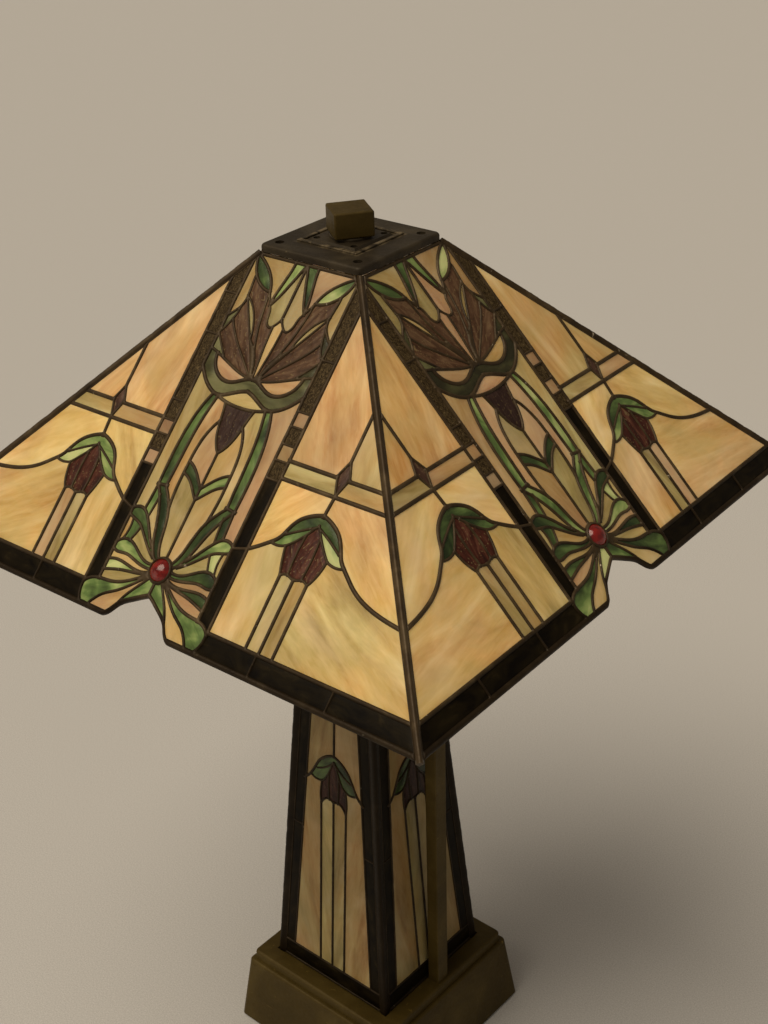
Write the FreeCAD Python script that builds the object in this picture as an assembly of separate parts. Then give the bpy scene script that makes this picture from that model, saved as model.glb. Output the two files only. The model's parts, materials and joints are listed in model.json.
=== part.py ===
import FreeCAD, Part
import math
import os

from FreeCAD import Vector

# A free-standing table lamp: a leaded-glass pyramid shade over a square leaded-glass column.
# Millimetres, +Z up. The origin is on the lamp's axis, on the surface that it stands on.
# The column's faces look along X and Y, and the two posts stand on its +X and -X sides.

# ---- driving dimensions -------------------------------------------------------------------
SHADE_HALF = 203.2          # half the shade's width at the rim: a 16 inch shade
SHADE_TOP_HALF = 38.4       # half its width where the glass meets the cap
SHADE_RISE = 166.4          # height of the glass, rim to cap
SHADE_TURN = 2.2            # how far the shade is turned on its seat, degrees
RIM_Z = 460.0               # height of the rim above the table
GLASS = 2.8                 # thickness of the sheet glass
PROUD = 0.7                 # how far the came stands above and below the glass
HIP_SETBACK = 2.1           # from the line of a hip to the edge of a glass face
EDGE_CAME = 0.9             # width of a face's own border came along the hips
SMALLEST_GLASS = 9.0        # openings under this area, mm2, are filled with solder

FELT = 2.0                  # felt pad under the base
BASE_TOP_Z = 66.5           # top of the platform
POCKET_Z = 64.5             # floor of the shallow pocket in it, which the column stands in
POCKET_HALF = 54.8
BLOCK_BOTTOM_HALF = 77.3
BLOCK_TOP_HALF = 70.5
BLOCK_TOP_Z = 58.5
PLATFORM_HALF = 67.5
WALL = 5.0                  # wall of the hollow cast base

COLUMN_HALF = 52.5          # half the column's width at its foot
COLUMN_TAPER = 0.072        # how much that half width shrinks per millimetre of height
COLUMN_HEIGHT = 334.0
CORNER_SETBACK = 4.2        # from a column corner to the edge of a glass face
STRIP = 14.5                # width of the black glass along each column corner

POST_OUT = 64.5             # from the axis to a post's outer face
POST_DEPTH = 9.6            # along X
POST_WIDTH = 11.5           # along Y
YOKE_Z = 430.0              # underside of the cross bar that joins the posts
YOKE_HEIGHT = 6.0

ROD_R = 5.0                 # threaded lamp rod
RUNNING = 0.06              # radial running clearance
CAP_HALF = 39.0
CAP_HEIGHT = 4.5
FINIAL_SIDE = 24.4
FINIAL_HEIGHT = 16.0
FINIAL_TURN = -37.0         # degrees, against the shade

INLET_Z = 16.0              # height of the bush for the supply lead, in the back wall
INLET_R = 2.6
SWITCH_X = 30.0             # the base switch, in the back wall
SWITCH_Z = 28.0
CLUSTER_Z = 486.0           # height of the two main bulbs' axis
SOCKET_R = 16.0
SOCKET_LONG = 44.0
SOCKET_START = 16.0         # from the lamp's axis to the back of a socket
SOCKET_DEEP = 27.0          # from the back of a socket to the end of its bulb's cap
KEY_OUT = 38.0              # from the lamp's axis to a switch key's axis

# ---- values worked out from them ----------------------------------------------------------
SHADE_RUN = SHADE_HALF - SHADE_TOP_HALF
SLANT = math.hypot(SHADE_RUN, SHADE_RISE)
CAP_Z = RIM_Z + SHADE_RISE + PROUD * SHADE_RUN / SLANT
COLUMN_TOP_HALF = COLUMN_HALF - COLUMN_TAPER * COLUMN_HEIGHT
COLUMN_RUN = COLUMN_HALF - COLUMN_TOP_HALF
COLUMN_SLANT = math.hypot(COLUMN_RUN, COLUMN_HEIGHT)
COLUMN_LIFT = (GLASS + PROUD) * COLUMN_RUN / COLUMN_SLANT   # clears the pocket at a face's back edge
COLUMN_LID_Z = POCKET_Z + COLUMN_LIFT + COLUMN_HEIGHT + PROUD * COLUMN_RUN / COLUMN_SLANT
FACES = ("front", "right", "back", "left")

# ---- the leads of one shade face ----------------------------------------------------------
# u runs across the face from its centre line, v up its slope from the rim. Every lead below is
# drawn on the +u half and mirrored. Each is a width and the points that its centre line takes.
BAR_IN = 39.6               # centre lines of the leads on each side of a dark bar
BAR_OUT = 49.4
BAR_LEAD = 2.4
SEAM_LEAD = 1.6             # across a bar, between two tiles
RIM_CAME = 3.6              # along the rim
BORDER_V = 15.4             # top of the dark border strip
BAND_LOW = 109.8            # the narrow band across each side panel
BAND_HIGH = 120.5
STEMS = (77.0, 86.5, 96.0)  # three stems under each tulip
TULIP_U = 87.0
KITE_U = 88.0
JEWEL_V = 36.5
JEWEL_R = 6.6
BEZEL_R = 7.6               # outside of the ring that holds the jewel
NOTCH = [(27, 0), (22.5, 3), (18, 9), (10, 14.5), (4, 18), (0, 20)]

SIDE_LEADS = [
    (2.6, [(BAR_OUT, BORDER_V), (200, BORDER_V)]),
    (1.6, [(86, 0), (86, BORDER_V)]),
    (1.6, [(140, 0), (140, BORDER_V)]),
    (2.6, [(BAR_OUT, BAND_LOW), (135, BAND_LOW)]),
    (2.6, [(BAR_OUT, BAND_HIGH), (KITE_U - 4.2, BAND_HIGH)]),
    (2.6, [(KITE_U + 4.2, BAND_HIGH), (125, BAND_HIGH)]),
    (2.4, [(KITE_U, 168), (KITE_U, 130)]),
    (1.7, [(KITE_U, 131.5), (KITE_U + 4.4, 121.5)]),
    (1.7, [(KITE_U + 4.4, 121.5), (KITE_U, 110)]),
    (1.7, [(KITE_U, 131.5), (KITE_U - 4.4, 121.5)]),
    (1.7, [(KITE_U - 4.4, 121.5), (KITE_U, 110)]),
    (2.4, [(KITE_U, 110.5), (TULIP_U, 97.5)]),
    (2.6, [(TULIP_U, 98.3), (94, 95.8), (101.5, 90.8), (106.5, 84), (110, 78.3), (115, 74),
           (122, 68.5), (131, 63.4), (143, 59.6), (166, 56.4)]),
    (2.6, [(TULIP_U, 98.3), (79.5, 95.8), (72.3, 90.5), (68.6, 84), (65.8, 78.5), (61, 74.3),
           (55, 70), (BAR_OUT, 66.5)]),
    (1.9, [(BAR_OUT, 66.5), (BAR_IN, 63.5)]),
]
TULIP_LEADS = [
    (1.7, [(TULIP_U, 91.5), (97, 86.7), (106.5, 81.3)]),
    (1.7, [(TULIP_U, 91.5), (77.5, 86.5), (67.7, 80.8)]),
    (1.7, [(TULIP_U, 92.2), (90.5, 87.5), (96, 81), (101.5, 75.6)]),
    (1.7, [(101.5, 75.6), (107, 74.2), (113, 75)]),
    (1.7, [(TULIP_U, 92.2), (83.5, 87.5), (78, 81), (72, 75.8)]),
    (1.7, [(72, 75.8), (67, 74.3), (61.5, 74.8)]),
    (1.7, [(101.5, 75.6), (99.8, 67), (96, 59.3)]),
    (1.7, [(72, 75.8), (74.2, 67), (77, 59.3)]),
    (1.6, [(82, 85), (81, 72), (81.6, 61)]),
    (1.6, [(91.4, 85), (92, 72), (91.3, 61)]),
    (1.7, [(77, 59.3), (81.5, 61.3), (86.5, 59.9), (91.4, 61.3), (96, 59.3)]),
] + [(2.3, [(stem, 60), (stem, BORDER_V)]) for stem in STEMS]

TOP_LEADS = [
    (2.2, [(36.8, 232), (27, 225.5), (20.3, 218), (17.5, 211.5)]),
    (2.2, [(37.6, 230.5), (33, 220), (27, 214.5), (17.5, 211.5)]),
    (2.2, [(8.9, 233.5), (10.6, 221), (12.8, 210), (13.2, 203.5)]),
    (2.2, [(0.4, 232.5), (4.8, 221.5), (9, 211), (13.2, 203.5)]),
    (1.7, [(17.5, 211.5), (15.3, 207.5), (13.2, 203.5)]),
]
FLOWER_LEADS = [
    (1.7, [(13.2, 203.5), (10.8, 198.5), (9.4, 193), (6.5, 190.6), (3.6, 192.2), (0, 197.8)]),
    (1.6, [(3.8, 192), (3.5, 183), (2.5, 172), (0.9, 158.5)]),
    (1.9, [(32.8, 220), (31.8, 208), (32.2, 200), (35.5, 195), (BAR_IN, 190.5)]),
    (1.6, [(32.6, 199), (34.3, 190), (BAR_IN, 179.5)]),
    (1.6, [(2.5, 160), (8, 173), (13, 187), (16, 201), (17.5, 211.5)]),
    (1.6, [(3.5, 160), (12, 175), (20.5, 188), (27, 198), (31.8, 206)]),
    (1.5, [(3, 160), (6.9, 172), (15.5, 180.5)]),
    (1.5, [(15, 180), (18.4, 190.5), (25, 200.5), (31.8, 206)]),
    (1.6, [(5, 160), (16, 170), (27, 180.5), (34.3, 190)]),
    (1.6, [(BAR_IN, 179.5), (34, 173), (28, 166.4)]),
    (1.9, [(33.4, 167.5), (21.5, 163), (9, 159), (0, 158)]),
    (1.9, [(33.4, 167.5), (BAR_IN, 169.5)]),
    (2.6, [(33.4, 167.5), (30.5, 159.3), (25, 154.4), (17.5, 152.4), (11, 154), (5, 157), (0, 158)]),
    (2.6, [(BAR_IN, 157.5), (33, 150), (26, 145.2), (20, 143.4), (12.5, 145.5), (5.5, 148.8),
           (0, 150.4)]),
]
HEART_LEADS = [
    (2.2, [(20, 143.2), (11, 140.8), (0, 139.9)]),
    (1.9, [(11.5, 140.8), (9.4, 133), (7.5, 124), (4.6, 116.5), (0, 110.8)]),
    (2.2, [(8.6, 129.5), (13, 121.5), (15.6, 111), (16.4, 98), (16.4, 85), (14.8, 70.5)]),
    (2.0, [(16.2, 101), (9.5, 97.5), (4, 92.3), (0, 88)]),
    (2.0, [(16.4, 93.5), (10.5, 91), (5, 86), (0, 81)]),
    (2.2, [(24, 83.5), (23.4, 100), (22.6, 118), (21, 131), (18.3, 143.4)]),
    (2.2, [(30, 82.5), (30.4, 100), (29.4, 118), (26.8, 132), (22.5, 143.8)]),
    (2.2, [(23.2, 83.2), (30.6, 82.4)]),
    (2.2, [(5.6, 43), (8.3, 48), (11, 59), (14.3, 69.5), (19, 77), (24.4, 83)]),
    (2.2, [(7.2, 40.5), (12, 45.5), (16, 54.5), (19.3, 64), (23.5, 73), (29.8, 82)]),
    (2.0, [(30, 82.5), (30.4, 74), (31, 66)]),
    (1.7, [(25, 77), (25.4, 70), (26.3, 62.5)]),
]
PETAL_LEADS = [
    (2.2, [(BAR_IN, 64), (36, 66), (31.5, 65.8), (27, 62.5), (21, 55.3), (14, 47)]),
    (2.0, [(BAR_IN, 60.3), (35, 58.6), (30, 57), (24, 52.5), (18, 47.3), (10, 41.5)]),
    (1.6, [(35.8, 58.6), (35, 53), (36.4, 45)]),
    (1.6, [(27.6, 55), (29, 50.5), (31, 45.7)]),
    (2.0, [(BAR_IN, 41.5), (37.5, 44.3), (32, 46), (27, 44.7), (20, 40.7), (8.3, 37.8)]),
    (2.0, [(BAR_IN, 38.6), (36, 37.2), (30, 37.8), (22, 36.5), (8.3, 34.9)]),
    (2.0, [(BAR_IN, 31.4), (33, 33), (25, 32.3), (8.3, 32.9)]),
    (2.0, [(BAR_IN, 24.8), (34, 26.5), (26, 28.4), (18, 29.5), (8, 31.6)]),
    (2.2, [(49.2, 13.5), (46, 17), (40.5, 19), (33, 19.6), (25, 21.2), (17, 25), (7.5, 31)]),
    (2.2, [(49.2, 13.5), (48.6, 7.5), (44, 1)]),
    (2.0, [(40, 0.5), (36.5, 6.5), (31, 12), (24, 16), (16, 22), (6.5, 30.5)]),
    (1.9, [(19.5, 7.8), (16, 15.5), (11, 22.5), (5, 30)]),
]
CENTRE_LEADS = [
    (2.2, [(0, SLANT), (0, 196)]),
    (2.0, [(0, 111.5), (0, 80)]),
    (2.0, [(0, 82), (0, 42)]),
    (2.4, [(0, 29), (0, 19)]),
]
# Seams across the dark bars, from the rim upwards. The tiles climb one step from left to right.
LEFT_BAR_SEAMS = (91.4, 100.6, 110.8, 120.2, 133, 178, 205)
RIGHT_BAR_SEAMS = (107.4, 118.6, 128.6, 139.4, 148.8, 181)

# Glass colours: a point inside each piece, on the +u half. What no point names is amber.
GREEN_GLASS = [
    (28, 220), (7, 222), (21, 150), (36.5, 163.5), (36.8, 174), (36.6, 188), (12, 95.4), (26.5, 105),
    (13, 60), (17, 72), (28, 74), (31, 61), (31.5, 53), (30, 41.5), (31, 29.7), (42, 9),
    (10, 18.5), (97, 91), (100.5, 79.5), (77, 91), (73, 79.5), (0, 154),
]
FLOWER_GLASS = [
    (8, 180), (13, 195), (22, 206), (28, 192), (18, 182), (25, 172), (0, 128),
    (86.5, 70), (77.5, 70), (96, 70), (KITE_U, 121),
]
DARK_GLASS = [(110, 8), (65, 8), (180, 8), (44.5, 30), (44.5, 80), (44.5, 215), (44.5, 190), (44.5, 160)]
DARK_LEFT_TILES = (105.7, 126.6)
DARK_RIGHT_TILES = (113, 134)

# ---- the leads of one column face ---------------------------------------------------------
COLUMN_STEM = 11.7
COLUMN_FOOT_V = 15.2        # top of the black strip along the foot
COLUMN_SEAM_V = 130.0       # where the black corner strips are pieced
COLUMN_LEADS = [
    (2.1, [(0, 202.3), (7, 199.3), (13.4, 193.5), (18.6, 184.2), (27.5, 173.2)]),
    (1.5, [(0.4, 197), (7, 190.5), (15.5, 186)]),
    (1.6, [(0.4, 197), (5, 186), (11, 177.5), (21.5, 179)]),
    (1.6, [(11, 177.5), (12.4, 167), (COLUMN_STEM, 158)]),
    (1.5, [(4.4, 187), (4.6, 174), (4, 164)]),
    (1.6, [(COLUMN_STEM, 158), (4, 164.5), (0, 162.5)]),
    (2.0, [(COLUMN_STEM, 159), (COLUMN_STEM, COLUMN_FOOT_V)]),
]
COLUMN_CENTRE_LEADS = [
    (2.0, [(0, COLUMN_SLANT), (0, 201.5)]),
    (2.0, [(0, 163.5), (0, COLUMN_FOOT_V)]),
]
COLUMN_GREEN = [(9, 193.5), (12, 183)]
COLUMN_PETALS = [(0, 176), (8, 171)]


def mirrored(leads):
    """The leads of the +u half, and the same leads on the other half."""
    both = list(leads)
    for width, points in leads:
        both.append((width, [(-u, v) for u, v in points]))
    return both


def spline(points):
    curve = Part.BSplineCurve()
    curve.interpolate([Vector(u, v, 0) for u, v in points])
    return curve


def offset_points(curve, distance, count):
    """Points beside a curve, at a distance to its left, a little past both ends."""
    first, last = curve.FirstParameter, curve.LastParameter
    run_out = abs(distance)
    points = []
    for step in range(count):
        at = first + (last - first) * step / (count - 1)
        tangent = curve.tangent(at)[0]
        point = curve.value(at) + Vector(-tangent.y, tangent.x, 0) * distance
        if step == 0:
            point = point - tangent * run_out
        if step == count - 1:
            point = point + tangent * run_out
        points.append(point)
    return points


def ribbon(width, points):
    """The flat strip that a lead covers along its centre line."""
    if len(points) == 2:
        start, end = (Vector(u, v, 0) for u, v in points)
        along = (end - start).normalize() * (width / 2)
        side = Vector(-along.y, along.x, 0)
        corners = [start - along + side, end + along + side, end + along - side, start - along - side]
        return Part.Face(Part.makePolygon(corners + corners[:1]))
    curve = spline(points)
    count = 2 * len(points) - 1
    left = offset_points(curve, width / 2, count)
    right = offset_points(curve, -width / 2, count)
    sides = []
    for row in (left, right[::-1]):
        side = Part.BSplineCurve()
        side.interpolate(row)
        sides.append(side.toShape())
    ends = [Part.makeLine(left[-1], right[-1]), Part.makeLine(right[0], left[0])]
    return Part.Face(Part.Wire([sides[0], ends[0], sides[1], ends[1]]))


def half_width(v, slant, half, top_half, setback):
    """Half the width of a tapered face at v, inside the corner came."""
    along = math.hypot(half - top_half, slant)
    return half - (half - top_half) * v / slant - setback * along / slant


def quad(half_low, half_high, low, high):
    corners = [
        Vector(-half_low, low, 0), Vector(half_low, low, 0),
        Vector(half_high, high, 0), Vector(-half_high, high, 0),
    ]
    return Part.Face(Part.makePolygon(corners + corners[:1]))


def panel_outline(slant, half, top_half, setback):
    low = half_width(0, slant, half, top_half, setback)
    high = half_width(slant, slant, half, top_half, setback)
    return quad(low, high, 0, slant)


def notch_face():
    """The scallop under the jewel, which is cut out of the rim."""
    right = spline(NOTCH).toShape()
    left = spline([(-u, v) for u, v in NOTCH]).toShape()
    floor = Part.makeLine(Vector(NOTCH[0][0], 0, 0), Vector(-NOTCH[0][0], 0, 0))
    return Part.Face(Part.Wire(Part.__sortEdges__([right, left, floor])))


def glass_pieces(outline, leads):
    """The openings that the leads leave in a face, without the slivers."""
    cut = outline.cut([ribbon(width, points) for width, points in leads])
    return [face for face in cut.Faces if face.Area > SMALLEST_GLASS]


def holds(face, u, v):
    return face.isInside(Vector(u, v, 0), 1e-4, True)


def sort_colours(pieces, seeds):
    """Groups of pieces by the colour whose point lies in them; the rest are amber."""
    groups = {name: [] for name in seeds}
    groups["amber"] = []
    for face in pieces:
        colour = "amber"
        for name, points in seeds.items():
            if any(holds(face, u, v) for u, v in points):
                colour = name
                break
        groups[colour].append(face)
    return groups


def both_sides(points):
    return points + [(-u, v) for u, v in points if u != 0]


def shade_leads():
    leads = mirrored(SIDE_LEADS + TULIP_LEADS + TOP_LEADS + FLOWER_LEADS + HEART_LEADS + PETAL_LEADS)
    bar_top = SLANT + 2
    for side in (-1, 1):
        leads.append((BAR_LEAD, [(side * BAR_IN, 19), (side * BAR_IN, bar_top)]))
        leads.append((BAR_LEAD, [(side * BAR_OUT, 14), (side * BAR_OUT, bar_top)]))
    for seam in LEFT_BAR_SEAMS:
        leads.append((SEAM_LEAD, [(-BAR_OUT, seam), (-BAR_IN, seam)]))
    for seam in RIGHT_BAR_SEAMS:
        leads.append((SEAM_LEAD, [(BAR_IN, seam), (BAR_OUT, seam)]))
    return leads + CENTRE_LEADS


def border_leads(slant, half, top_half, setback, foot):
    """The came along a face's two corners, its top and its bottom."""
    low = half_width(0, slant, half, top_half, setback) - EDGE_CAME / 2
    high = half_width(slant, slant, half, top_half, setback) - EDGE_CAME / 2
    leads = [(2.4, [(-high, slant - 1.2), (high, slant - 1.2)])]
    for side in (-1, 1):
        leads.append((EDGE_CAME, [(side * low, 0), (side * high, slant)]))
        leads.append((foot, [(side * low, foot / 2), (side * min(low, NOTCH[0][0]), foot / 2)]))
    return leads


def in_face(shape, turn, base, tilt_run, slant, rise):
    """Moves a flat pattern from its own plane to its place on one side of the lamp."""
    lean = math.degrees(math.atan2(rise, tilt_run))
    moved = shape.copy()
    moved.rotate(Vector(0, 0, 0), Vector(1, 0, 0), lean)
    moved.translate(base)
    moved.rotate(Vector(0, 0, 0), Vector(0, 0, 1), turn)
    return moved


def slab(faces, below, above):
    """Solids of the given flat pieces, from below to above their plane."""
    solids = []
    for face in faces:
        lowered = face.copy()
        lowered.translate(Vector(0, 0, -below))
        solids.append(lowered.extrude(Vector(0, 0, above + below)))
    return solids


def corner_came(half, top_half, low, rise, setback, floor, ceiling):
    """One bar along the corner between the front and the right face, seated on both.

    The corner's line starts at a height of low and climbs by rise. The bar is cut level at floor and ceiling.
    """
    below = GLASS + PROUD
    above = PROUD
    start = Vector(half, -half, low)
    end = Vector(top_half, -top_half, low + rise)
    along = (end - start).normalize()
    run = half - top_half
    slope = math.hypot(rise, run)
    normals = (Vector(0, -rise / slope, run / slope), Vector(rise / slope, 0, run / slope))
    inward = (along.cross(normals[0]) * -1, along.cross(normals[1]))
    inward = [way if way.dot(Vector(-start.x, -start.y, 0)) > 0 else way * -1 for way in inward]
    middle = (normals[0] + normals[1]).normalize()
    outer = [way * setback + normal * above for way, normal in zip(inward, normals)]
    inner = [way * setback - normal * below for way, normal in zip(inward, normals)]
    crown = middle * (above + 0.8)
    heel = middle * -((below + 0.2) / middle.dot(normals[0]))
    base = start - along * 12
    arc = Part.Arc(base + outer[0], base + crown, base + outer[1]).toShape()
    lines = [
        Part.makeLine(base + outer[1], base + inner[1]),
        Part.makeLine(base + inner[1], base + heel),
        Part.makeLine(base + heel, base + inner[0]),
        Part.makeLine(base + inner[0], base + outer[0]),
    ]
    profile = Part.Face(Part.Wire([arc] + lines))
    bar = profile.extrude(along * ((end - start).Length + 24))
    room = block(300, 300, floor, ceiling)
    return bar.common(room)


def around(shape):
    """The same piece on all four sides."""
    copies = []
    for quarter in range(4):
        copy = shape.copy()
        copy.rotate(Vector(0, 0, 0), Vector(0, 0, 1), 90 * quarter)
        copies.append(copy)
    return copies


def save(name, solids, turn=0.0):
    """Writes one node as its own file; several separate solids go in as a group."""
    pieces = []
    for solid in solids:
        pieces.extend(solid.Solids)
    shape = pieces[0] if len(pieces) == 1 else Part.makeCompound(pieces)
    shape = shape.copy()
    if turn:
        shape.rotate(Vector(0, 0, 0), Vector(0, 0, 1), turn)
    if not shape.isValid():
        raise ValueError(name + " is not a valid solid")
    shape.exportStep(os.path.join("parts", name + ".step"))
    print(name, len(pieces), "solids,", round(shape.Volume / 1000, 1), "cm3")


def cylinder(radius, low, high, x=0.0, y=0.0):
    return Part.makeCylinder(radius, high - low, Vector(x, y, low))


def tube(outer, inner, low, high, x=0.0, y=0.0):
    return cylinder(outer, low, high, x, y).cut(cylinder(inner, low - 1, high + 1, x, y))


def block(half_x, half_y, low, high):
    return Part.makeBox(2 * half_x, 2 * half_y, high - low, Vector(-half_x, -half_y, low))


def frustum(half_low, half_high, low, high):
    """A square block whose sides lean in."""
    rings = []
    for half, z in ((half_low, low), (half_high, high)):
        corners = [Vector(x * half, y * half, z) for x, y in ((-1, -1), (1, -1), (1, 1), (-1, 1), (-1, -1))]
        rings.append(Part.makePolygon(corners))
    return Part.makeLoft(rings, True, True)


def upright_edges(shape):
    return [edge for edge in shape.Edges if abs(edge.tangentAt(edge.FirstParameter).z) > 0.9]


def level_edges(shape, z):
    return [edge for edge in shape.Edges if all(abs(v.Point.z - z) < 0.01 for v in edge.Vertexes)]


# ---- shade --------------------------------------------------------------------------------
def make_shade():
    outline = panel_outline(SLANT, SHADE_HALF, SHADE_TOP_HALF, HIP_SETBACK).cut(notch_face())
    seat = Part.Face(Part.Wire(Part.makeCircle(BEZEL_R, Vector(0, JEWEL_V, 0))))
    ring = Part.Face(Part.Wire(Part.makeCircle(BEZEL_R + 1.0, Vector(0, JEWEL_V, 0))))
    leads = shade_leads() + border_leads(SLANT, SHADE_HALF, SHADE_TOP_HALF, HIP_SETBACK, RIM_CAME)
    leads += mirrored([(2.6, [(u, v + 1.2) for u, v in NOTCH])])
    pieces = glass_pieces(outline.cut(ring), leads)
    dark = both_sides(DARK_GLASS)
    dark += [(-44.5, v) for v in DARK_LEFT_TILES]
    dark += [(44.5, v) for v in DARK_RIGHT_TILES]
    seeds = {"green": both_sides(GREEN_GLASS), "flower": both_sides(FLOWER_GLASS), "dark": dark}
    colours = sort_colours(pieces, seeds)
    grille = outline.cut(pieces).cut(seat)
    base = Vector(0, -SHADE_HALF, RIM_Z)
    for side, name in enumerate(FACES):
        turn = 90 * side + SHADE_TURN
        place = (turn, base, SHADE_RUN, SLANT, SHADE_RISE)
        frame = [in_face(solid, *place) for solid in slab(grille.Faces, GLASS + PROUD, PROUD)]
        save("shade_came_" + name, frame)
        for colour, faces in colours.items():
            glass = [in_face(solid, *place) for solid in slab(faces, GLASS, 0)]
            save("shade_" + colour + "_glass_" + name, glass)
    make_jewels(base)
    top = RIM_Z + SHADE_RISE
    came = corner_came(SHADE_HALF, SHADE_TOP_HALF, RIM_Z, SHADE_RISE, HIP_SETBACK, RIM_Z, top)
    save("shade_hip_cames", around(came), SHADE_TURN)


def make_jewels(base):
    """A red cabochon in a ring on each side, flush at the back with the came."""
    dome_r = 8.4
    crown = 4.2
    ring = tube(BEZEL_R, JEWEL_R, -(GLASS + PROUD), PROUD + 0.9)
    dome = Part.makeSphere(dome_r, Vector(0, 0, crown - dome_r))
    jewel = dome.common(cylinder(JEWEL_R, -GLASS, crown))
    for name, shape in (("jewel_bezels", ring), ("jewels", jewel)):
        shape.translate(Vector(0, JEWEL_V, 0))
        solids = [in_face(shape, 90 * side, base, SHADE_RUN, SLANT, SHADE_RISE) for side in range(4)]
        save(name, solids, SHADE_TURN)


def make_cap():
    """The square cap, with vent holes, a raised square bead and a raised centre."""
    top = CAP_Z + CAP_HEIGHT
    cap = block(CAP_HALF, CAP_HALF, CAP_Z, top)
    cap = cap.makeFillet(4.0, upright_edges(cap))
    cap = cap.makeFillet(2.2, level_edges(cap, top))
    bead = block(22.8, 22.8, top - 1, top + 1.2).cut(block(20.0, 20.0, top - 2, top + 2))
    bead = bead.makeFillet(0.6, level_edges(bead, top + 1.2))
    centre = frustum(18.6, 16.8, top - 1, top + 1.4)
    cap = cap.fuse(bead).fuse(centre)
    for x in (-1, 1):
        for y in (-1, 1):
            for radius, out in ((2.8, 30), (2.2, 14.2)):
                cap = cap.cut(cylinder(radius, CAP_Z - 1, top + 3, out * x, out * y))
    cap = cap.cut(cylinder(ROD_R + RUNNING, CAP_Z - 1, top + 3))
    save("shade_cap", [cap.removeSplitter()], SHADE_TURN)
    washer_z = top + 1.4
    washer = tube(12.8, ROD_R + RUNNING, washer_z, washer_z + 1.6)
    outer_edge = [edge for edge in level_edges(washer, washer_z + 1.6) if edge.Length > 60]
    washer = washer.makeFillet(0.6, outer_edge)
    save("cap_washer", [washer], SHADE_TURN)
    return washer_z + 1.6


def make_finial(z):
    half = FINIAL_SIDE / 2
    finial = block(half, half, z, z + FINIAL_HEIGHT)
    finial = finial.makeFillet(1.2, finial.Edges)
    finial = finial.cut(cylinder(ROD_R + RUNNING, z - 1, z + 11))
    save("finial", [finial], SHADE_TURN + FINIAL_TURN)
    return z + 9


# ---- column -------------------------------------------------------------------------------
def make_column():
    outline = panel_outline(COLUMN_SLANT, COLUMN_HALF, COLUMN_TOP_HALF, CORNER_SETBACK)
    leads = mirrored(COLUMN_LEADS) + COLUMN_CENTRE_LEADS
    leads += border_leads(COLUMN_SLANT, COLUMN_HALF, COLUMN_TOP_HALF, CORNER_SETBACK, 1.8)
    leads.append((1.8, [(-COLUMN_HALF, 0.9), (COLUMN_HALF, 0.9)]))
    leads.append((1.6, [(-COLUMN_HALF, COLUMN_FOOT_V), (COLUMN_HALF, COLUMN_FOOT_V)]))
    low = COLUMN_HALF - STRIP
    high = COLUMN_TOP_HALF - STRIP
    for side in (-1, 1):
        leads.append((1.5, [(side * low, COLUMN_FOOT_V), (side * high, COLUMN_SLANT)]))
        leads.append((1.2, [(side * (low - 8), COLUMN_SEAM_V), (side * COLUMN_HALF, COLUMN_SEAM_V)]))
    pieces = glass_pieces(outline, leads)
    strips = [(low, 60), (high + 8, COLUMN_SLANT - 60), (0, COLUMN_FOOT_V / 2)]
    seeds = {
        "leaf": both_sides(COLUMN_GREEN),
        "petal": both_sides(COLUMN_PETALS),
        "black": both_sides(strips),
    }
    colours = sort_colours(pieces, seeds)
    grille = outline.cut(pieces)
    base = Vector(0, -COLUMN_HALF, POCKET_Z + COLUMN_LIFT)
    glass = {colour: [] for colour in colours}
    for side, name in enumerate(FACES):
        place = (90 * side, base, COLUMN_RUN, COLUMN_SLANT, COLUMN_HEIGHT)
        save("column_came_" + name, [in_face(s, *place) for s in slab(grille.Faces, GLASS + PROUD, PROUD)])
        for colour, faces in colours.items():
            glass[colour] += [in_face(solid, *place) for solid in slab(faces, GLASS, 0)]
    for colour, solids in glass.items():
        save("column_" + colour + "_glass", solids)
    came = corner_came(
        COLUMN_HALF, COLUMN_TOP_HALF, base.z, COLUMN_HEIGHT, CORNER_SETBACK, POCKET_Z, COLUMN_LID_Z
    )
    save("column_corner_cames", around(came))
    lid = block(COLUMN_TOP_HALF + 2, COLUMN_TOP_HALF + 2, COLUMN_LID_Z, COLUMN_LID_Z + 3)
    lid = lid.makeFillet(1.2, upright_edges(lid) + level_edges(lid, COLUMN_LID_Z + 3))
    for x in (-15, 15):
        lid = lid.cut(cylinder(5, COLUMN_LID_Z - 1, COLUMN_LID_Z + 4, x, 0))
    save("column_lid", [lid])


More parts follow.
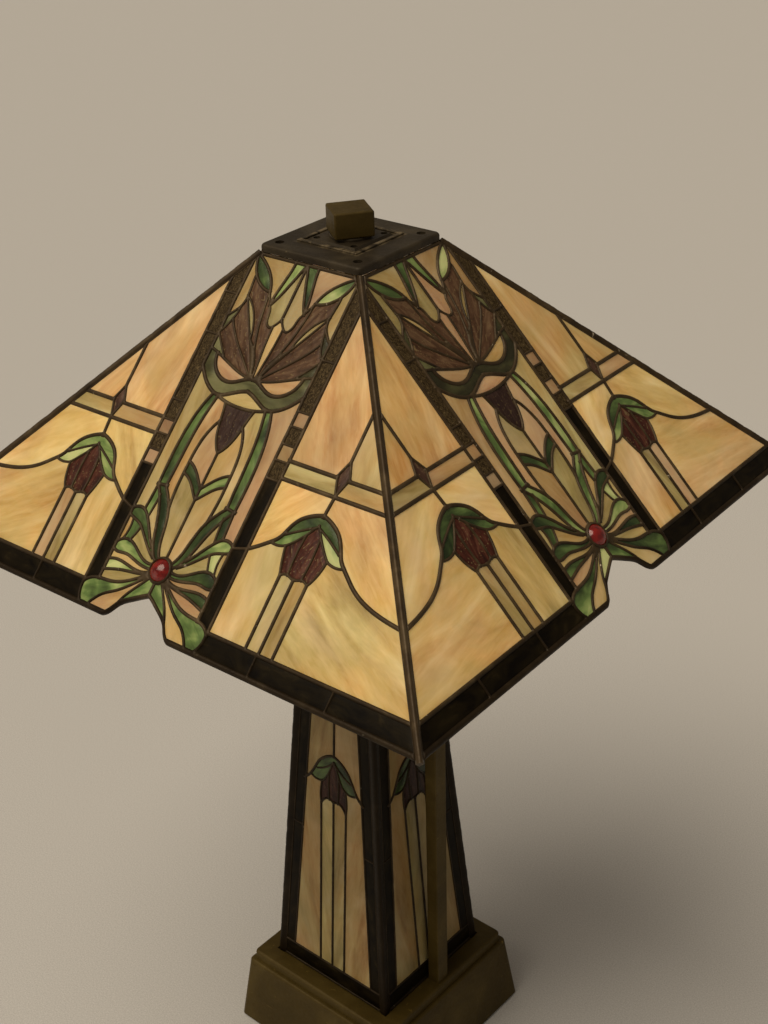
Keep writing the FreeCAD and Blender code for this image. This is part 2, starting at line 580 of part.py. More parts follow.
# ---- base ---------------------------------------------------------------------------------
def make_base():
    floor_z = FELT + 2.0
    outer = frustum(BLOCK_BOTTOM_HALF, BLOCK_TOP_HALF, FELT, BLOCK_TOP_Z)
    outer = outer.makeFillet(4.0, upright_edges(outer))
    outer = outer.makeFillet(2.0, level_edges(outer, BLOCK_TOP_Z))
    hollow = frustum(BLOCK_BOTTOM_HALF - WALL, BLOCK_TOP_HALF - WALL, FELT - 1, BLOCK_TOP_Z - WALL)
    casting = outer.cut(hollow)
    corner = BLOCK_BOTTOM_HALF - WALL - 7
    for x in (-1, 1):
        for y in (-1, 1):
            boss = cylinder(6, floor_z, BLOCK_TOP_Z - WALL + 1, corner * x, corner * y)
            casting = casting.fuse(boss).cut(cylinder(1.6, floor_z - 1, floor_z + 14, corner * x, corner * y))
    casting = casting.cut(cylinder(6.2, BLOCK_TOP_Z - WALL - 1, BLOCK_TOP_Z + 1))
    casting = casting.cut(rod_in(4.0, 0, BLOCK_BOTTOM_HALF + WALL, 3 * WALL, INLET_Z))
    casting = casting.cut(rod_in(3.5, SWITCH_X, BLOCK_BOTTOM_HALF + WALL, 3 * WALL, SWITCH_Z))
    save("base_casting", [casting])

    platform = block(PLATFORM_HALF, PLATFORM_HALF, BLOCK_TOP_Z, BASE_TOP_Z)
    platform = platform.makeFillet(4.0, upright_edges(platform))
    platform = platform.makeFillet(2.2, level_edges(platform, BASE_TOP_Z))
    platform = platform.cut(block(POCKET_HALF, POCKET_HALF, POCKET_Z, BASE_TOP_Z + 1))
    platform = platform.cut(cylinder(6.2, BLOCK_TOP_Z - 1, BASE_TOP_Z + 1))
    save("base_platform", [platform])

    plate_half = BLOCK_BOTTOM_HALF - WALL - 0.4
    plate = block(plate_half, plate_half, FELT, floor_z)
    screws = []
    for x in (-1, 1):
        for y in (-1, 1):
            plate = plate.cut(cylinder(2.2, FELT - 1, floor_z + 1, corner * x, corner * y))
            shank = cylinder(1.55, FELT + 0.6, floor_z + 10, corner * x, corner * y)
            head = cylinder(2.1, FELT + 0.1, FELT + 1.7, corner * x, corner * y)
            screws.append(shank.fuse(head).removeSplitter())
    save("base_cover_plate", [plate])
    save("cover_screws", screws)
    pad = block(BLOCK_BOTTOM_HALF - 2, BLOCK_BOTTOM_HALF - 2, 0, FELT)
    pad = pad.makeFillet(4.0, upright_edges(pad))
    save("felt_pad", [pad])
    save("counterweight", [block(46, 46, floor_z, floor_z + 9)])


def rod_in(radius, x, start_y, length, z):
    """A cylinder that runs inward, along -Y, from the back of the base."""
    return Part.makeCylinder(radius, length, Vector(x, start_y, z), Vector(0, -1, 0))


def back_wall_y(z):
    """Where the outside of the base's sloping back wall is, at a height."""
    lean = (BLOCK_BOTTOM_HALF - BLOCK_TOP_HALF) / (BLOCK_TOP_Z - FELT)
    return BLOCK_BOTTOM_HALF - lean * (z - FELT)


def make_inlet():
    """The insulating bush in the back wall, where the supply lead enters."""
    wall_y = back_wall_y(INLET_Z)
    sleeve = rod_in(4.0, 0, wall_y + 1.2, WALL + 3, INLET_Z)
    collar = rod_in(6.0, 0, wall_y + 2.1, 1.2, INLET_Z)
    bore = rod_in(INLET_R, 0, wall_y + 5, 4 * WALL, INLET_Z)
    save("cord_inlet_bush", [collar.fuse(sleeve).cut(bore).removeSplitter()])


def make_base_switch():
    """Rotary switch for the lamp in the column: body inside the wall, knob outside."""
    wall_y = back_wall_y(SWITCH_Z)
    body_y = wall_y - WALL - 2.0
    body = Part.makeBox(20, 14, 20, Vector(SWITCH_X - 10, body_y - 14, SWITCH_Z - 10))
    body = body.fuse(rod_in(3.4, SWITCH_X, wall_y + 1.0, WALL + 4, SWITCH_Z))
    body = body.cut(rod_in(1.5 + RUNNING, SWITCH_X, wall_y + 2, 16, SWITCH_Z))
    save("base_switch_body", [body.removeSplitter()])
    knob_y = wall_y + 11.0
    knob = rod_in(8.0, SWITCH_X, knob_y, 9.0, SWITCH_Z)
    knob = knob.makeFillet(1.5, [edge for edge in knob.Edges if abs(edge.CenterOfMass.y - knob_y) < 0.01])
    mark = Part.makeBox(2.0, 2.0, 7.0, Vector(SWITCH_X - 1.0, knob_y - 1.0, SWITCH_Z + 0.5))
    knob = knob.cut(mark).fuse(rod_in(1.5, SWITCH_X, wall_y + 4.0, 15.0, SWITCH_Z))
    save("base_switch_knob", [knob.removeSplitter()])


# ---- what carries the shade ---------------------------------------------------------------
def make_posts():
    for side, name in ((-1, "left"), (1, "right")):
        low_x = min(side * POST_OUT, side * (POST_OUT - POST_DEPTH))
        corner = Vector(low_x, -POST_WIDTH / 2, BASE_TOP_Z)
        post = Part.makeBox(POST_DEPTH, POST_WIDTH, YOKE_Z - BASE_TOP_Z, corner)
        save("post_" + name, [post.makeFillet(0.8, upright_edges(post))])
    yoke = block(POST_OUT + 1, POST_WIDTH, YOKE_Z, YOKE_Z + YOKE_HEIGHT)
    yoke = yoke.makeFillet(2.0, upright_edges(yoke))
    yoke = yoke.cut(cylinder(ROD_R, YOKE_Z - 1, YOKE_Z + YOKE_HEIGHT + 1))
    save("yoke", [yoke])


def make_rod(top):
    """The hollow threaded rod from the yoke to the finial, and what is screwed to it."""
    save("lamp_rod", [tube(ROD_R, 3.2, YOKE_Z - 14, top)])
    nuts = []
    for low in (YOKE_Z - 5, YOKE_Z + YOKE_HEIGHT):
        nut = Part.Face(Part.makePolygon([hexagon(i, low) for i in range(7)])).extrude(Vector(0, 0, 5))
        nuts.append(nut.cut(cylinder(ROD_R, low - 1, low + 6)))
    save("lock_nuts", nuts)
    seat_top = CAP_Z
    seat = tube(14, ROD_R, seat_top - 2, seat_top).fuse(tube(8, ROD_R, seat_top - 9, seat_top - 2))
    save("shade_seat", [seat.removeSplitter()])


def hexagon(corner, z):
    angle = math.radians(60 * corner)
    return Vector(9.5 * math.cos(angle), 9.5 * math.sin(angle), z)


def make_cluster():
    """A round body on the rod with a socket to each side along Y, each with a bulb and a key."""
    body = tube(16, ROD_R, CLUSTER_Z - 13, CLUSTER_Z + 13)
    for side in (-1, 1):
        bore = Part.makeCylinder(4, 20, Vector(0, side * 8, CLUSTER_Z), Vector(0, side, 0))
        body = body.cut(bore)
    save("socket_cluster", [body])
    sockets = []
    for side, name in ((-1, "front"), (1, "back")):
        sockets.append(make_socket(side))
        save("bulb_" + name, [make_bulb(side)])
        save("socket_key_" + name, [make_key(side)])
    save("bulb_sockets", sockets)


def make_socket(side):
    """A brass shell, hollow to take the bulb's cap, with a boss for its switch key."""
    way = Vector(0, side, 0)
    start = Vector(0, side * SOCKET_START, CLUSTER_Z)
    shell = Part.makeCylinder(SOCKET_R, SOCKET_LONG, start, way)
    boss = Part.makeCylinder(5.0, 22, Vector(0, side * KEY_OUT, CLUSTER_Z), Vector(-1, 0, 0))
    shell = shell.fuse(boss)
    mouth = Part.makeCylinder(SOCKET_R - 1.5, SOCKET_LONG, start + way * SOCKET_DEEP, way)
    shell = shell.cut(mouth)
    shaft = Part.makeCylinder(1.6 + RUNNING, 14, Vector(-10, side * KEY_OUT, CLUSTER_Z), Vector(-1, 0, 0))
    return shell.cut(shaft).removeSplitter()


def make_bulb(side):
    """An ordinary bulb: a screw cap in the socket and a round glass envelope."""
    length = [(0, 0), (9, 0), (13.2, 3), (13.2, 17), (14.5, 24), (22, 36), (29.5, 52)]
    outline = [Vector(r, 0, z) for r, z in length]
    throat = Part.makePolygon(outline[:4])
    curve = Part.BSplineCurve()
    curve.interpolate(outline[3:] + [Vector(29.0, 0, 64), Vector(20, 0, 77), Vector(0, 0, 83.5)])
    axis = Part.makeLine(Vector(0, 0, 83.5), Vector(0, 0, 0))
    profile = Part.Face(Part.Wire([throat, curve.toShape(), axis]))
    bulb = profile.revolve(Vector(0, 0, 0), Vector(0, 0, 1), 360)
    bulb.rotate(Vector(0, 0, 0), Vector(1, 0, 0), -90 * side)
    bulb.translate(Vector(0, side * (SOCKET_START + SOCKET_DEEP), CLUSTER_Z))
    return bulb


def make_key(side):
    """A small flat key on a shaft, which turns to switch its bulb."""
    at = Vector(-12, side * KEY_OUT, CLUSTER_Z)
    shaft = Part.makeCylinder(1.6, 16, at, Vector(-1, 0, 0))
    paddle = Part.makeBox(10, 3.0, 13, Vector(-37, side * KEY_OUT - 1.5, CLUSTER_Z - 6.5))
    paddle = paddle.makeFillet(1.2, paddle.Edges)
    return shaft.fuse(paddle).removeSplitter()


def make_night_light():
    """The small lamp inside the column, on a bracket screwed to the platform."""
    foot = block(16, 16, POCKET_Z, POCKET_Z + 2).cut(cylinder(6.2, POCKET_Z - 1, POCKET_Z + 3))
    low = POCKET_Z + 30
    stalk = tube(9, 7.5, POCKET_Z + 2, POCKET_Z + 50).fuse(tube(9, 3, low - 2, low))
    save("night_light_socket", [foot.fuse(stalk).removeSplitter()])
    cap = [Vector(r, 0, low + z) for r, z in ((0, 0), (6, 0), (6.9, 3), (6.9, 20))]
    envelope = [Vector(r, 0, low + z) for r, z in ((8.2, 27), (10.5, 40), (8, 54), (0, 62))]
    curve = Part.BSplineCurve()
    curve.interpolate(cap[-1:] + envelope)
    axis = Part.makeLine(envelope[-1], cap[0])
    face = Part.Face(Part.Wire([Part.makePolygon(cap), curve.toShape(), axis]))
    save("night_light_bulb", [face.revolve(Vector(0, 0, 0), Vector(0, 0, 1), 360)])


os.makedirs("parts", exist_ok=True)
make_shade()
make_column()
make_base()
make_inlet()
make_base_switch()
make_posts()
make_rod(make_finial(make_cap()))
make_cluster()
make_night_light()
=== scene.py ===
import json
import math
import random

import bpy
import numpy as np
from mathutils import Matrix, Vector, noise
from mathutils.geometry import delaunay_2d_cdt
from mathutils.kdtree import KDTree


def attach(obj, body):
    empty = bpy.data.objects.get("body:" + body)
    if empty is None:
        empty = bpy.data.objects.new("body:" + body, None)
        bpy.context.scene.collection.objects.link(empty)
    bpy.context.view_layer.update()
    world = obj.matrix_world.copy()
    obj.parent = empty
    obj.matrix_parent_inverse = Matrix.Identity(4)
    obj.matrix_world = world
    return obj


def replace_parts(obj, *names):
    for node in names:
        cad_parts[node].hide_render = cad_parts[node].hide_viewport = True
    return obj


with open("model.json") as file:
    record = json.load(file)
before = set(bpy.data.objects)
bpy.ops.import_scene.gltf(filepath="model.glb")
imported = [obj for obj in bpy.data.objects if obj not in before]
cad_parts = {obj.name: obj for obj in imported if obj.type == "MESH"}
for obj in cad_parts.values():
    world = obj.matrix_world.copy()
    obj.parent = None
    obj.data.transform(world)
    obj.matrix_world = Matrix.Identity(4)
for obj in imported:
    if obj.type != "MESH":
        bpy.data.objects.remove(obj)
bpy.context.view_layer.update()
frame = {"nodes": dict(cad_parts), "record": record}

MM = 0.001
SIDES = ("front", "right", "back", "left")

# ---- sizes, millimetres, as in the CAD ------------------------------------------------------
GLASS = 2.8                    # thickness of the glass
PROUD = 0.7                    # how far the cames stand out over it
HIP_SETBACK = 2.1              # from a shade corner to the edge of each side
CORNER_SETBACK = 4.2           # the same on the column
SHADE = {"half": 203.2, "top": 38.4, "low": 460.0, "rise": 166.4, "turn": 2.2}
COLUMN = {"half": 52.5, "top": 28.452, "low": 64.7514, "rise": 334.0, "turn": 0.0}

# Where things are on a side of the shade: u across from its middle, v up its slope.
BAR_IN, BAR_OUT = 39.6, 49.4
BAND_LOW, BAND_HIGH = 109.8, 120.5
STEMS_IN, STEMS_OUT = 77.0, 96.0
TULIP_FOOT_V = 61.0
SHOULDER_V = 72.0              # amber pieces whose middle is above this sit over the arcs
CRESCENT_LOW, CRESCENT_HIGH = 140.0, 195.0
HEART_LOW, HEART_OUT = 100.0, 4.0
TOP_FLOWER_V = 190.0
NET_LOW, NET_GAP_LOW, NET_GAP_HIGH = 90.0, 145.0, 150.0
BORDER_FADE = (13.0, 19.0)     # the solder is darker along the black border
COLUMN_TULIP_V = 150.0         # column glass above this is orange

JEWEL_V = 36.5
JEWEL_RING = 6.45              # inner radius of the solder round a jewel
CAP_BEAD = 21.4                # from the middle of the cap to its square bead
ROD_R, ROD_BORE, ROD_LOW, ROD_HIGH = 5.0, 3.2, 416.0, 643.3

# ---- camera ---------------------------------------------------------------------------------
CAMERA_AT = (0.6036, -0.6607, 0.9373)
CAMERA_YAW, CAMERA_PITCH, CAMERA_ROLL = -0.7237, 0.5042, -0.0306
CAMERA_LENS = 54.84


class Panel:
    """One glazed side: its place, and the way between its own plane (u, v, n) and the row frame."""

    def __init__(self, size, side):
        run = size["half"] - size["top"]
        self.slant = math.hypot(run, size["rise"])
        lean = Matrix.Rotation(math.atan2(size["rise"], run), 4, "X")
        shift = Matrix.Translation((0, -size["half"], size["low"]))
        turn = Matrix.Rotation(math.radians(90 * side + size["turn"]), 4, "Z")
        self.place = Matrix.Scale(MM, 4) @ turn @ shift @ lean
        self.side = side

    def local(self, points):
        back = np.array(self.place.inverted())
        return points @ back[:3, :3].T + back[:3, 3]

    def world(self, points):
        there = np.array(self.place)
        return points @ there[:3, :3].T + there[:3, 3]


def node_points(node):
    mesh = frame["nodes"][node].data
    mesh.calc_loop_triangles()
    points = np.zeros(len(mesh.vertices) * 3)
    mesh.vertices.foreach_get("co", points)
    corners = np.zeros(len(mesh.loop_triangles) * 3, int)
    mesh.loop_triangles.foreach_get("vertices", corners)
    return points.reshape(-1, 3), corners.reshape(-1, 3)


def outlines(node, panel, height):
    """The loops round the node's flat faces at a height above the panel's plane, in u and v."""
    points, corners = node_points(node)
    flat = panel.local(points)
    keys, same = np.unique(np.round(flat * 100).astype(int), axis=0, return_inverse=True)
    same = same.reshape(-1)
    place = np.zeros((len(keys), 3))
    place[same] = flat
    corners = same[corners]
    level = np.abs(place[:, 2] - height) < 0.03
    tops = corners[level[corners].all(axis=1)]
    ways = {}
    for a, b, c in tops.tolist():
        if a != b and b != c and c != a:
            for edge in ((a, b), (b, c), (c, a)):
                ways[edge] = ways.get(edge, 0) + 1
    onward = {}
    for (a, b), count in ways.items():
        if count > ways.get((b, a), 0):
            onward.setdefault(a, []).append(b)
    loops = []
    while onward:
        start = next(iter(onward))
        loop, at = [start], start
        while True:
            options = onward[at]
            step = options.pop()
            if not options:
                del onward[at]
            if step == start:
                break
            loop.append(step)
            at = step
        loops.append(place[loop][:, :2])
    return [loop for loop in loops if len(loop) > 2]


def resampled(loop, spacing, corner=math.radians(24)):
    """The loop with its corners kept and its sides in equal steps of about the given spacing."""
    before = loop - np.roll(loop, 1, axis=0)
    after = np.roll(loop, -1, axis=0) - loop
    turn = np.arctan2(
        before[:, 0] * after[:, 1] - before[:, 1] * after[:, 0], (before * after).sum(axis=1)
    )
    keep = np.flatnonzero(np.abs(turn) > corner)
    if len(keep) == 0:
        keep = np.array([0])
    out = []
    for first, last in zip(keep, np.roll(keep, -1)):
        if last <= first:
            last += len(loop)
        run = loop[np.arange(first, last + 1) % len(loop)]
        lengths = np.hypot(*np.diff(run, axis=0).T)
        along = np.concatenate([[0], np.cumsum(lengths)])
        count = max(1, int(round(along[-1] / spacing)))
        at = np.linspace(0, along[-1], count + 1)[:-1]
        out.append(np.stack([np.interp(at, along, run[:, 0]), np.interp(at, along, run[:, 1])], axis=1))
    return np.concatenate(out)


def loop_edges(loops):
    edges, start = [], 0
    for loop in loops:
        count = len(loop)
        edges += [(start + i, start + (i + 1) % count) for i in range(count)]
        start += count
    return edges


def filled(points, edges):
    """Triangles on the left of the directed edges, by the numbers of the points."""
    flat = [Vector((float(x), float(y))) for x, y in points]
    made, _, faces, old, _, _ = delaunay_2d_cdt(flat, edges, [], 1, 1e-4)
    number = [rows[0] for rows in old]
    faces = [tuple(number[i] for i in face) for face in faces]
    beside = {}
    for row, (a, b, c) in enumerate(faces):
        beside[(a, b)] = beside[(b, c)] = beside[(c, a)] = row
    inner = {beside[edge] for edge in edges if edge in beside}
    closed = set(edges) | {(b, a) for a, b in edges}
    waiting = list(inner)
    while waiting:
        a, b, c = faces[waiting.pop()]
        for edge in ((b, a), (c, b), (a, c)):
            row = beside.get(edge)
            if row is not None and edge not in closed and row not in inner:
                inner.add(row)
                waiting.append(row)
    return [faces[row] for row in sorted(inner)]


def solder(loops, spacing=1.3, highest=1.15):
    """Rounded solder over the leads between the loops: rim points, crest points with heights, triangles."""
    even = [resampled(loop, spacing) for loop in loops]
    rim = np.concatenate(even)
    edges = loop_edges(even)
    closed = set(edges) | {(b, a) for a, b in edges}
    crossing = set()
    for a, b, c in filled(rim, edges):
        crossing |= {(min(e), max(e)) for e in ((a, b), (b, c), (c, a)) if e not in closed}
    crest, height = [], []
    for a, b in sorted(crossing):
        span = rim[b] - rim[a]
        half = min(math.hypot(*span) / 2, highest)
        for part in (0.25, 0.5, 0.75):
            crest.append(rim[a] + span * part)
            height.append(half * math.sqrt(4 * part * (1 - part)))
    points = np.concatenate([rim, np.array(crest)])
    faces = filled(points, edges)
    height = np.concatenate([np.zeros(len(rim)), np.array(height)])
    corner = np.array(faces)
    for _ in range(2):
        total = np.zeros(len(points))
        count = np.zeros(len(points))
        for i, j in ((0, 1), (1, 2), (2, 0)):
            np.add.at(total, corner[:, i], height[corner[:, j]])
            np.add.at(count, corner[:, i], 1)
        smooth = 0.6 * height + 0.4 * total / np.maximum(count, 1)
        smooth[:len(rim)] = 0
        height = smooth
    return points, height, faces, edges, len(rim)


def waviness(points, scale, seed):
    """Smooth noise from -1 to 1 at points of any two columns."""
    return np.array([noise.noise(Vector((x / scale, y / scale, seed))) for x, y in points])


def two_sided(points, top, bottom, faces, edges):
    """Vertices and faces of a thin closed body between two heights over the same triangles."""
    count = len(points)
    up = np.column_stack([points, top])
    down = np.column_stack([points, bottom])
    rows = [tuple(face) for face in faces]
    rows += [(a + count, c + count, b + count) for a, b, c in faces]
    for a, b in edges:
        rows.append((b, a, a + count, b + count))
    return np.concatenate([up, down]), rows


def make_object(name, points, faces, material, body, sharp=None, values=None):
    """A mesh in the row frame that rides on a body. Point values become attributes."""
    mesh = bpy.data.meshes.new(name)
    mesh.from_pydata([tuple(p) for p in points], [], faces)
    mesh.polygons.foreach_set("use_smooth", [True] * len(mesh.polygons))
    for key, column in (values or {}).items():
        kind = "FLOAT" if column.ndim == 1 else "FLOAT_VECTOR"
        attribute = mesh.attributes.new(key, kind, "POINT")
        field = "value" if column.ndim == 1 else "vector"
        attribute.data.foreach_set(field, column.astype(np.float32).ravel())
    if sharp is not None:
        mesh.set_sharp_from_angle(angle=math.radians(sharp))
    mesh.materials.append(material)
    mesh.validate()
    obj = bpy.data.objects.new(name, mesh)
    bpy.context.scene.collection.objects.link(obj)
    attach(obj, body)
    return obj


# ---- materials ------------------------------------------------------------------------------
class Paint:
    """Builds one procedural material."""

    def __init__(self, name):
        self.material = bpy.data.materials.new(name)
        self.material.use_nodes = True
        self.tree = self.material.node_tree
        self.shader = self.tree.nodes["Principled BSDF"]

    def node(self, kind, **inputs):
        made = self.tree.nodes.new(kind)
        for key, value in inputs.items():
            self.put(made.inputs[key.replace("_", " ")], value)
        return made

    def put(self, socket, value):
        if isinstance(value, bpy.types.NodeSocket):
            self.tree.links.new(value, socket)
        elif isinstance(value, tuple) and socket.type == "RGBA":
            socket.default_value = (*value[:3], 1)
        else:
            socket.default_value = value

    def set(self, **inputs):
        for key, value in inputs.items():
            self.put(self.shader.inputs[key.replace("_", " ")], value)

    def attribute(self, name, output="Fac"):
        made = self.node("ShaderNodeAttribute")
        made.attribute_name = name
        return made.outputs[output]

    def where(self):
        return self.node("ShaderNodeTexCoord").outputs["Object"]

    def part(self, vector, axis):
        return self.node("ShaderNodeSeparateXYZ", Vector=vector).outputs[axis]

    def stretched(self, vector, scale, shift=(0, 0, 0)):
        return self.node("ShaderNodeMapping", Vector=vector, Scale=scale, Location=shift).outputs[0]

    def noise(self, vector, scale, detail=3.0, roughness=0.5, distortion=0.0):
        return self.node(
            "ShaderNodeTexNoise", Vector=vector, Scale=scale, Detail=detail, Roughness=roughness,
            Distortion=distortion,
        ).outputs["Fac"]

    def math(self, operation, a, b=0.0, clamp=False):
        made = self.node("ShaderNodeMath")
        made.operation = operation
        made.use_clamp = clamp
        self.put(made.inputs[0], a)
        self.put(made.inputs[1], b)
        return made.outputs[0]

    def ramp(self, value, *stops):
        made = self.node("ShaderNodeValToRGB", Fac=value)
        line = made.color_ramp.elements
        while len(line) < len(stops):
            line.new(0.5)
        for element, (at, colour) in zip(line, stops):
            element.position = at
            element.color = (*colour, 1)
        return made.outputs["Color"]

    def shades(self, value, dark, mid, pale):
        return self.ramp(value, (0.3, dark), (0.5, mid), (0.7, pale))

    def fade(self, value, low, high, start=0.0, end=1.0):
        made = self.node("ShaderNodeMapRange", Value=value)
        for name, number in (("From Min", low), ("From Max", high), ("To Min", start), ("To Max", end)):
            made.inputs[name].default_value = number
        return made.outputs[0]

    def mix(self, share, a, b, way="MIX"):
        made = self.node("ShaderNodeMix")
        made.data_type = "RGBA"
        made.blend_type = way
        self.put(made.inputs[0], share)
        self.put(made.inputs[6], a)
        self.put(made.inputs[7], b)
        return made.outputs[2]

    def dimmed(self, colour, light):
        grey = self.node("ShaderNodeCombineColor", Red=light, Green=light, Blue=light).outputs[0]
        return self.mix(1.0, colour, grey, "MULTIPLY")

    def bump(self, height, strength, distance):
        made = self.node("ShaderNodeBump", Height=height, Strength=strength, Distance=distance)
        self.put(self.shader.inputs["Normal"], made.outputs[0])


def glass_base(paint):
    """The piece's own grain, a coordinate in centimetres along its streaks, and its tint values."""
    return paint.attribute("grain", "Vector"), paint.attribute("tint", "Vector")


def amber_glass():
    """Opalescent sheet: tone runs from cream to peach, hue from olive (-1) through plain to rose (1)."""
    paint = Paint("amber_glass")
    grain, tint = glass_base(paint)
    tone, hue, light = (paint.part(tint, axis) for axis in range(3))
    wisp = paint.noise(paint.stretched(grain, (0.62, 0.12, 1.0)), 1.0, 4, 0.5, 1.0)
    cloud = paint.noise(paint.stretched(grain, (0.28, 0.17, 1.0)), 1.0, 4, 0.55, 0.9)
    fine = paint.noise(paint.stretched(grain, (4.0, 0.7, 1.0)), 1.0, 4, 0.6, 0.6)
    cream = paint.ramp(
        wisp, (0.27, (0.47, 0.28, 0.075)), (0.44, (0.60, 0.40, 0.130)), (0.58, (0.67, 0.48, 0.185)),
        (0.72, (0.78, 0.61, 0.32)),
    )
    peach = paint.ramp(
        wisp, (0.27, (0.36, 0.150, 0.036)), (0.44, (0.49, 0.245, 0.070)), (0.58, (0.59, 0.345, 0.120)),
        (0.72, (0.72, 0.49, 0.22)),
    )
    rose = paint.shades(wisp, (0.44, 0.22, 0.11), (0.56, 0.32, 0.17), (0.68, 0.46, 0.27))
    olive = paint.shades(wisp, (0.27, 0.20, 0.062), (0.42, 0.335, 0.115), (0.62, 0.54, 0.24))
    warm = paint.math("ADD", tone, paint.fade(cloud, 0.36, 0.66, -0.35, 0.4), clamp=True)
    drift = paint.noise(paint.stretched(grain, (0.16, 0.12, 1.0)), 1.0, 3, 0.5, 0.6)
    hue = paint.math("ADD", hue, paint.fade(drift, 0.36, 0.64, -0.42, 0.42))
    colour = paint.mix(warm, cream, peach)
    colour = paint.mix(paint.fade(hue, 0.0, 1.0), colour, rose)
    colour = paint.mix(paint.fade(hue, 0.0, -1.0), colour, olive)
    pearl = paint.noise(paint.stretched(grain, (0.24, 0.09, 1.0)), 1.0, 4, 0.55, 0.8)
    colour = paint.mix(paint.fade(pearl, 0.54, 0.74, 0.0, 0.6), colour, (0.86, 0.68, 0.40))
    colour = paint.mix(paint.fade(fine, 0.35, 0.75, 0.0, 0.3), colour, (0.80, 0.62, 0.33))
    colour = paint.dimmed(colour, paint.math("MULTIPLY", light, paint.fade(cloud, 0.3, 0.7, 0.80, 1.18)))
    speck = paint.noise(paint.where(), 900.0, 2, 0.5)
    paint.set(Base_Color=colour, Roughness=paint.fade(fine, 0.2, 0.8, 0.26, 0.42), Specular_IOR_Level=0.28)
    paint.set(Subsurface_Weight=0.2, Subsurface_Radius=(0.006, 0.004, 0.002), Subsurface_Scale=1.0)
    paint.bump(paint.math("ADD", fine, paint.math("MULTIPLY", speck, 0.3)), 0.25, 0.0002)
    return paint.material


def green_glass():
    """Leaf glass: tone runs from bottle green to lime, hue turns it to a grey olive."""
    paint = Paint("green_glass")
    grain, tint = glass_base(paint)
    tone, hue, light = (paint.part(tint, axis) for axis in range(3))
    sweep = paint.noise(paint.stretched(grain, (0.55, 0.30, 1.0)), 1.0, 3, 0.5, 0.7)
    wisp = paint.noise(paint.stretched(grain, (2.4, 0.5, 1.0)), 1.0, 4, 0.55, 0.9)
    depth = paint.math("ADD", tone, paint.fade(sweep, 0.34, 0.66, -0.30, 0.30))
    depth = paint.math("ADD", depth, paint.fade(wisp, 0.3, 0.7, -0.09, 0.09), clamp=True)
    colour = paint.ramp(
        depth, (0.0, (0.014, 0.028, 0.008)), (0.28, (0.048, 0.080, 0.023)), (0.52, (0.115, 0.19, 0.053)),
        (0.76, (0.29, 0.38, 0.125)), (1.0, (0.56, 0.60, 0.26)),
    )
    olive = paint.ramp(
        depth, (0.1, (0.034, 0.028, 0.010)), (0.5, (0.085, 0.070, 0.028)), (0.9, (0.19, 0.17, 0.08)),
    )
    colour = paint.dimmed(paint.mix(hue, colour, olive), light)
    paint.set(Base_Color=colour, Roughness=0.26, Specular_IOR_Level=0.25)
    paint.set(Subsurface_Weight=0.1, Subsurface_Radius=(0.002, 0.004, 0.002), Subsurface_Scale=1.0)
    paint.bump(wisp, 0.3, 0.0003)
    return paint.material


def flower_glass():
    """Petal glass under cast filigree: tone runs from brown to wine, hue to a grey purple."""
    paint = Paint("flower_glass")
    grain, tint = glass_base(paint)
    tone, hue, light = (paint.part(tint, axis) for axis in range(3))
    wisp = paint.noise(paint.stretched(grain, (2.0, 0.45, 1.0)), 1.0, 5, 0.6, 1.4)
    brown = paint.shades(wisp, (0.038, 0.018, 0.008), (0.085, 0.045, 0.023), (0.15, 0.095, 0.05))
    wine = paint.shades(wisp, (0.020, 0.006, 0.004), (0.055, 0.014, 0.008), (0.13, 0.05, 0.03))
    plum = paint.shades(wisp, (0.022, 0.009, 0.008), (0.050, 0.024, 0.020), (0.09, 0.05, 0.038))
    colour = paint.mix(hue, paint.mix(tone, brown, wine), plum)
    ridge = paint.fade(paint.attribute("ridge"), 0.3, 0.6)
    colour = paint.dimmed(paint.mix(ridge, colour, (0.150, 0.102, 0.047)), light)
    paint.set(Base_Color=colour, Roughness=paint.math("ADD", 0.36, paint.math("MULTIPLY", ridge, 0.16)))
    paint.set(Specular_IOR_Level=0.15)
    paint.bump(wisp, 0.25, 0.0002)
    return paint.material


def dark_glass():
    """Black border glass; a tone of 1 is the bronze netting on the upper bars."""
    paint = Paint("dark_glass")
    grain, tint = glass_base(paint)
    tone = paint.part(tint, 0)
    wisp = paint.noise(paint.stretched(grain, (1.2, 0.5, 1.0)), 1.0, 4, 0.6, 0.8)
    black = paint.ramp(
        wisp, (0.35, (0.0025, 0.0015, 0.0006)), (0.6, (0.009, 0.006, 0.002)), (0.8, (0.026, 0.018, 0.007)),
    )
    veins = paint.noise(paint.stretched(grain, (9.0, 4.0, 1.0)), 1.0, 4, 0.65, 2.0)
    net = paint.ramp(
        veins, (0.40, (0.016, 0.010, 0.004)), (0.52, (0.048, 0.032, 0.014)), (0.64, (0.12, 0.085, 0.04)),
    )
    paint.set(Base_Color=paint.mix(tone, black, net), Roughness=paint.fade(tone, 0, 1, 0.40, 0.5))
    paint.set(Specular_IOR_Level=0.06)
    paint.bump(paint.mix(tone, paint.math("MULTIPLY", wisp, 0.3), veins), 0.4, 0.0004)
    return paint.material


